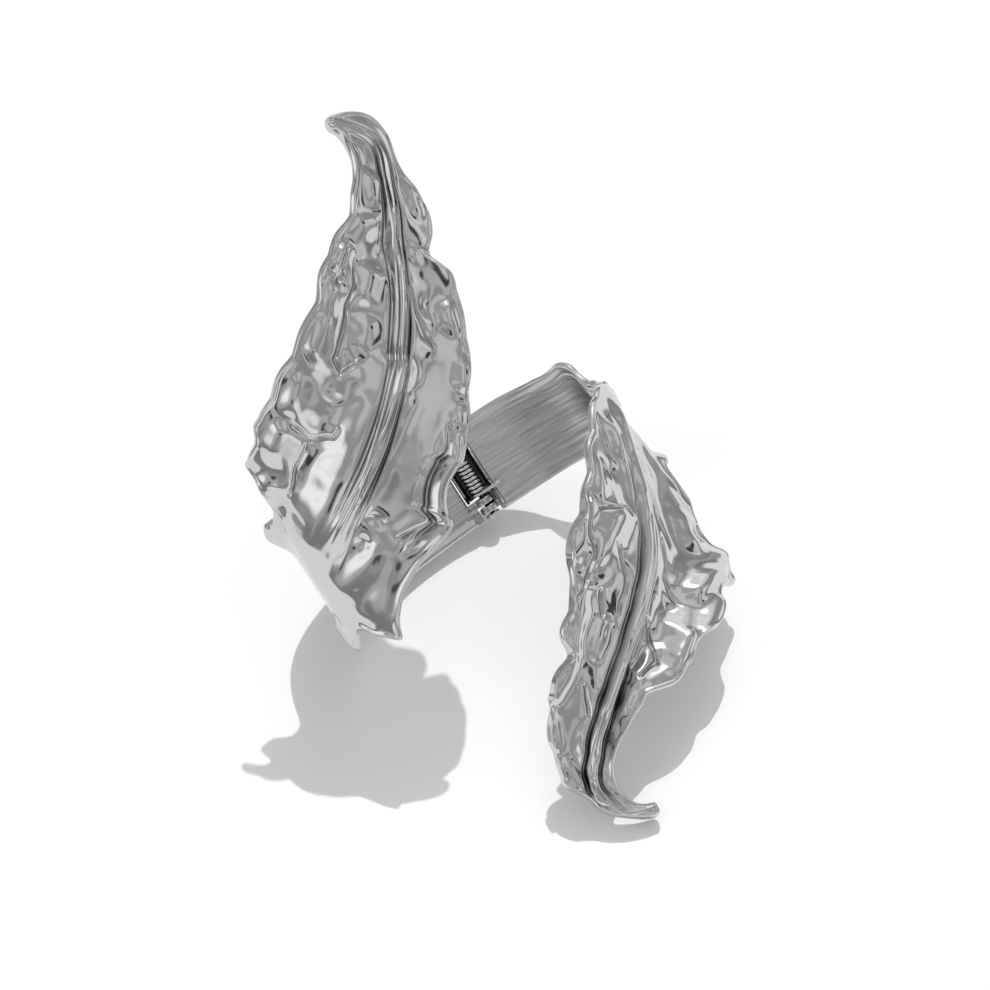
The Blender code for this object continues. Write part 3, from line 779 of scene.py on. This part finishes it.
def arm_piece(name, start, low, high, way, material, body):
    """Tongue or lug: the strap's own sheet, drawn in towards the barrel."""
    table = []
    r = TONGUE_ROUND
    for x in np.linspace(start, WINDOW_HALF + TONGUE_PAST, TONGUE_STEPS):
        bend = TONGUE_BEND * x * x
        out = TONGUE_OUTER + bend
        inn = TONGUE_INNER + bend
        loop = []
        for cx, cy, first in ((high - r, inn - r, 0.0), (low + r, inn - r, 90.0),
                              (low + r, out + r, 180.0), (high - r, out + r, 270.0)):
            for k in range(5):
                a = math.radians(first + 22.5 * k)
                loop.append((x * way, cx + r * math.cos(a), cy + r * math.sin(a)))
        table.append(loop)
    table = np.array(table)
    rows, sides = table.shape[:2]
    grid = np.arange(rows * sides).reshape(rows, sides)
    world = hinge_points(table.reshape(-1, 3))
    caps = []
    points = [world]
    for row, flip in ((0, False), (rows - 1, True)):
        centre = world[grid[row]].mean(0)
        index = rows * sides + len(points) - 1
        points.append(centre[None])
        for j in range(sides):
            k = (j + 1) % sides
            tri = [index, grid[row][k], grid[row][j], grid[row][j]]
            caps.append(tri[::-1] if flip else tri)
    mesh = bpy.data.meshes.new(name)
    quads = [tuple(f) for f in ring_quads(rows, sides)]
    quads += [tuple(dict.fromkeys(f)) for f in caps]
    mesh.from_pydata([tuple(p) for p in np.vstack(points)], [], quads)
    mesh.update()
    outward(mesh)
    mesh.shade_smooth()
    obj = bpy.data.objects.new(name, mesh)
    bpy.context.scene.collection.objects.link(obj)
    obj.data.materials.append(material)
    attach(obj, body)


def outward(mesh):
    """Turns a closed mesh's faces out when they point in."""
    count = len(mesh.vertices)
    points = np.zeros(count * 3)
    mesh.vertices.foreach_get("co", points)
    points = points.reshape(-1, 3)
    points = points - points.mean(0)
    volume = 0.0
    for polygon in mesh.polygons:
        corner = points[list(polygon.vertices)]
        for i in range(1, len(corner) - 1):
            volume += float(np.dot(corner[0], np.cross(corner[i], corner[i + 1])))
    if volume < 0:
        mesh.flip_normals()


for label, (low, high, way, material) in ZONES.items():
    for number, sign in enumerate((1, -1)):
        ends = sorted((sign * low, sign * high))
        turned_piece(f"{label}_knuckle_{number}", rounded_bar(*ends, KNUCKLE_RADIUS, BARREL_ROUND),
                     material, f"{label}_half")
        arm_piece(f"{label}_tongue_{number}", TONGUE_START, *ends, way, material, f"{label}_half")
        ends = sorted((sign * (COVER_HALF + KNUCKLE_GAP), sign * LUG_END))
        arm_piece(f"{label}_lug_{number}", LUG_START, *ends, way, material, f"{label}_half")


def pin_profile():
    """Profile of the pin: a shank with a rounded head at each end."""
    head_in = HINGE_HALF + KNUCKLE_GAP
    head_out = HINGE_HALF + KNUCKLE_GAP + PIN_HEAD
    flat = PIN_HEAD_RADIUS - HEAD_ROUND
    corner = np.linspace(0, math.pi / 2, 9)
    profile = [(-head_out, END_POINT)]
    profile += [(-head_out + HEAD_ROUND - HEAD_ROUND * math.cos(a), flat + HEAD_ROUND * math.sin(a))
                for a in corner]
    profile += [(-head_in, PIN_HEAD_RADIUS), (-head_in, PIN_RADIUS), (head_in, PIN_RADIUS),
                (head_in, PIN_HEAD_RADIUS)]
    profile += [(head_out - HEAD_ROUND + HEAD_ROUND * math.sin(a), flat + HEAD_ROUND * math.cos(a))
                for a in corner]
    profile += [(head_out, END_POINT)]
    return profile


turned_piece("hinge_pin_look", pin_profile(), PIN_STEEL, "lower_half", "hinge_pin")


def shell_piece(name, low, high, arc):
    """Part of a shell round the pin with rounded rims, joined to the lower half's strap."""
    section = []
    middle = (COVER_INNER + COVER_OUTER) / 2
    half = (COVER_OUTER - COVER_INNER) / 2
    for side, end in ((1, high - COVER_SOFT), (-1, low + COVER_SOFT)):
        for a in np.linspace(-90, 90, 9):
            turn = math.radians(a)
            section.append((middle + side * half * math.sin(turn),
                            end + side * COVER_SOFT * math.cos(turn)))
    rings = []
    for turn in np.radians(np.linspace(*arc, COVER_STEPS)):
        rings.append([(r * math.cos(turn), t, r * math.sin(turn)) for r, t in section])
    centre = [[np.mean(ring, axis=0)] * len(section) for ring in (rings[0], rings[-1])]
    table = np.array([centre[0]] + rings + [centre[1]])
    faces = ring_quads(*table.shape[:2])
    obj = make_object(name, hinge_points(table.reshape(-1, 3)), faces, CAST_LOWER, "lower_half")
    outward(obj.data)


shell_piece("spring_cover", -COVER_HALF - COVER_SPARE, COVER_HALF + COVER_SPARE, COVER_ARC)
for number, sign in enumerate((1, -1)):
    low, high = sorted((sign * (COVER_HALF - COVER_SPARE), sign * (HINGE_HALF + SKIRT_PAST)))
    shell_piece(f"cover_skirt_{number}", low, high, SKIRT_ARC)


def spring_piece():
    """Close-wound coil with a straight leg at each end."""
    length = COIL_TURNS * COIL_PITCH
    path = [(-LEG_LENGTH * f, length / 2, COIL_RADIUS + LEG_RISE * f) for f in (1.0, 0.75, 0.5, 0.3)]
    steps = COIL_TURNS * 48
    for i in range(steps + 1):
        turn = 2 * math.pi * COIL_TURNS * i / steps
        path.append((COIL_RADIUS * math.sin(turn), length / 2 - length * i / steps,
                     COIL_RADIUS * math.cos(turn)))
    path += [(LEG_LENGTH * f, -length / 2, COIL_RADIUS + LEG_RISE * f) for f in (0.3, 0.5, 0.75, 1.0)]
    path = np.array(path)
    way = np.gradient(path, axis=0)
    way /= np.linalg.norm(way, axis=1, keepdims=True)
    normal = np.array([0.0, 1.0, 0.0])
    sides = 16
    rings = []
    for point, ahead in zip(path, way):
        normal = normal - ahead * normal.dot(ahead)
        normal /= np.linalg.norm(normal)
        other = np.cross(ahead, normal)
        turn = np.linspace(0, 2 * math.pi, sides, endpoint=False)[:, None]
        rings.append(point + WIRE_RADIUS * (np.cos(turn) * normal + np.sin(turn) * other))
    # Ends closed by shrinking rings, so the wire's ends are rounded.
    first = [path[0] - way[0] * 0.3 * WIRE_RADIUS * s + (rings[0] - path[0]) * c
             for s, c in ((1.0, 0.05), (0.8, 0.6))]
    last = [path[-1] + way[-1] * 0.3 * WIRE_RADIUS * s + (rings[-1] - path[-1]) * c
            for s, c in ((0.8, 0.6), (1.0, 0.05))]
    rings = np.array(first + rings + last)
    make_object("torsion_spring_look", hinge_points(rings.reshape(-1, 3)),
                ring_quads(len(rings), sides), SPRING_STEEL, "lower_half", "torsion_spring")


spring_piece()


# ---------------------------------------------------------------- stage
def floor():
    """Pale floor, just below the lowest point."""
    mesh = bpy.data.meshes.new("floor")
    size = FLOOR_HALF
    mesh.from_pydata([(-size, -size, 0), (size, -size, 0), (size, size, 0), (-size, size, 0)], [],
                     [(0, 1, 2, 3)])
    obj = bpy.data.objects.new("floor", mesh)
    bpy.context.scene.collection.objects.link(obj)
    material, _, _, shader = node_material("floor_white")
    shader.inputs["Base Color"].default_value = (0.93, 0.93, 0.93, 1)
    shader.inputs["Roughness"].default_value = 0.9
    shader.inputs["Specular IOR Level"].default_value = 0.0
    obj.data.materials.append(material)
    obj.location.z = -0.0002


def sun(elevation, azimuth, strength, angle):
    data = bpy.data.lights.new("sun", "SUN")
    data.energy = strength
    data.angle = math.radians(angle)
    obj = bpy.data.objects.new("sun", data)
    e, a = math.radians(elevation), math.radians(azimuth)
    towards = Vector((math.sin(a) * math.cos(e), math.cos(a) * math.cos(e), math.sin(e)))
    obj.rotation_mode = "QUATERNION"
    obj.rotation_quaternion = (-towards).to_track_quat("-Z", "Y")
    obj.visible_glossy = False
    bpy.context.scene.collection.objects.link(obj)


def studio_world():
    """Pale studio: an overhead light, soft cards round the object and dimmer gaps between them."""
    world = bpy.data.worlds.new("studio")
    bpy.context.scene.world = world
    world.use_nodes = True
    nodes = world.node_tree.nodes
    links = world.node_tree.links
    background = nodes["Background"]
    where = nodes.new("ShaderNodeTexCoord")
    split = nodes.new("ShaderNodeSeparateXYZ")
    links.new(where.outputs["Generated"], split.inputs["Vector"])
    height = nodes.new("ShaderNodeMapRange")
    height.inputs["From Min"].default_value = -1.0
    height.inputs["From Max"].default_value = 1.0
    links.new(split.outputs["Z"], height.inputs["Value"])
    ramp = nodes.new("ShaderNodeValToRGB")
    ramp.color_ramp.elements[0].position = 0.0
    ramp.color_ramp.elements[0].color = (*[WALLS[0][1]] * 3, 1)
    ramp.color_ramp.elements[1].position = 1.0
    ramp.color_ramp.elements[1].color = (*[WALLS[-1][1]] * 3, 1)
    for place, value in WALLS[1:-1]:
        element = ramp.color_ramp.elements.new(place)
        element.color = (value, value, value, 1)
    links.new(height.outputs["Result"], ramp.inputs["Fac"])
    mottle = nodes.new("ShaderNodeTexNoise")
    mottle.inputs["Scale"].default_value = 2.6
    mottle.inputs["Detail"].default_value = 2.0
    links.new(where.outputs["Generated"], mottle.inputs["Vector"])
    patch = nodes.new("ShaderNodeMapRange")
    patch.interpolation_type = "SMOOTHSTEP"
    patch.inputs["From Min"].default_value = 0.45
    patch.inputs["From Max"].default_value = 0.55
    patch.inputs["To Min"].default_value = 0.70
    patch.inputs["To Max"].default_value = 1.12
    links.new(mottle.outputs["Fac"], patch.inputs["Value"])
    total = nodes.new("ShaderNodeMath")
    total.operation = "MULTIPLY"
    links.new(ramp.outputs["Color"], total.inputs[0])
    links.new(patch.outputs["Result"], total.inputs[1])
    for way, reach, soft, strength in CARDS:
        aim = nodes.new("ShaderNodeVectorMath")
        aim.operation = "DOT_PRODUCT"
        aim.inputs[1].default_value = Vector(way).normalized()
        links.new(where.outputs["Generated"], aim.inputs[0])
        card = nodes.new("ShaderNodeMapRange")
        card.interpolation_type = "SMOOTHSTEP"
        card.inputs["From Min"].default_value = math.cos(math.radians(reach + soft))
        card.inputs["From Max"].default_value = math.cos(math.radians(reach))
        card.inputs["To Max"].default_value = strength
        links.new(aim.outputs["Value"], card.inputs["Value"])
        added = nodes.new("ShaderNodeMath")
        added.operation = "ADD"
        links.new(total.outputs[0], added.inputs[0])
        links.new(card.outputs["Result"], added.inputs[1])
        total = added
    floor_level = nodes.new("ShaderNodeMath")
    floor_level.operation = "MAXIMUM"
    floor_level.inputs[1].default_value = 0.05
    links.new(total.outputs[0], floor_level.inputs[0])
    # The camera itself sees plain white behind the floor.
    path = nodes.new("ShaderNodeLightPath")
    seen = nodes.new("ShaderNodeMix")
    seen.data_type = "FLOAT"
    seen.inputs["B"].default_value = 1.0
    links.new(path.outputs["Is Camera Ray"], seen.inputs["Factor"])
    links.new(floor_level.outputs[0], seen.inputs["A"])
    links.new(seen.outputs["Result"], background.inputs["Color"])
    background.inputs["Strength"].default_value = 1.0


# Brightness of the surroundings from straight below (0) through the horizon (0.5) to overhead (1).
WALLS = [
    (0.0, 0.6), (0.50, 0.6), (0.515, 0.36), (0.550, 0.40), (0.600, 0.46), (0.72, 0.54),
    (0.85, 0.58), (0.93, 0.66), (1.0, 0.74),
]
# Cards: direction, half angle and softness in degrees, brightness; a dark card is negative.
CARDS = [
    ((-0.75, -0.35, 0.55), 12.0, 12.0, 0.8),
    ((0.90, -0.02, 0.42), 10.0, 8.0, 0.40),
    ((0.78, -0.14, 0.62), 6.0, 1.5, -0.75),
    ((-0.12, -0.86, 0.50), 5.0, 2.0, -0.60),
    ((0.10, 0.75, 0.65), 16.0, 12.0, 0.5),
    ((0.0, -0.616, 0.788), 5.0, 6.0, -0.20),
    ((-0.62, 0.10, 0.78), 5.0, 2.5, -0.32),
    ((0.35, -0.90, 0.25), 9.0, 8.0, 0.6),
    ((0.02, 0.56, 0.83), 6.0, 7.0, 1.5),
]


floor()
studio_world()
sun(56.0, 1.5, 1.75, 0.8)

# ---------------------------------------------------------------- camera
ELEVATION = math.radians(52.0)
LENS = 600.0
SENSOR = 36.0
FIELD = 150.0 * MM
# From the middle of the picture to the hinge pin: to the right and up.
AIM_RIGHT = -4.1 * MM
AIM_UP = 3.0 * MM


def camera():
    """Long lens at the photo's angle."""
    data = bpy.data.cameras.new("camera")
    data.lens = LENS
    data.sensor_width = SENSOR
    obj = bpy.data.objects.new("camera", data)
    bpy.context.scene.collection.objects.link(obj)
    bpy.context.scene.camera = obj
    distance = FIELD * LENS / SENSOR
    back = Vector((0.0, -math.cos(ELEVATION), math.sin(ELEVATION)))
    right = Vector((1.0, 0.0, 0.0))
    up = back.cross(right)
    middle = Vector(PIN_AT.tolist())
    middle -= right * AIM_RIGHT
    middle -= up * AIM_UP
    obj.rotation_mode = "QUATERNION"
    obj.rotation_quaternion = (-back).to_track_quat("-Z", "Y")
    obj.location = middle + back * distance
    data.clip_start = 0.01
    data.clip_end = 20.0


camera()
bpy.context.scene.view_settings.view_transform = "Standard"
bpy.context.view_layer.update()
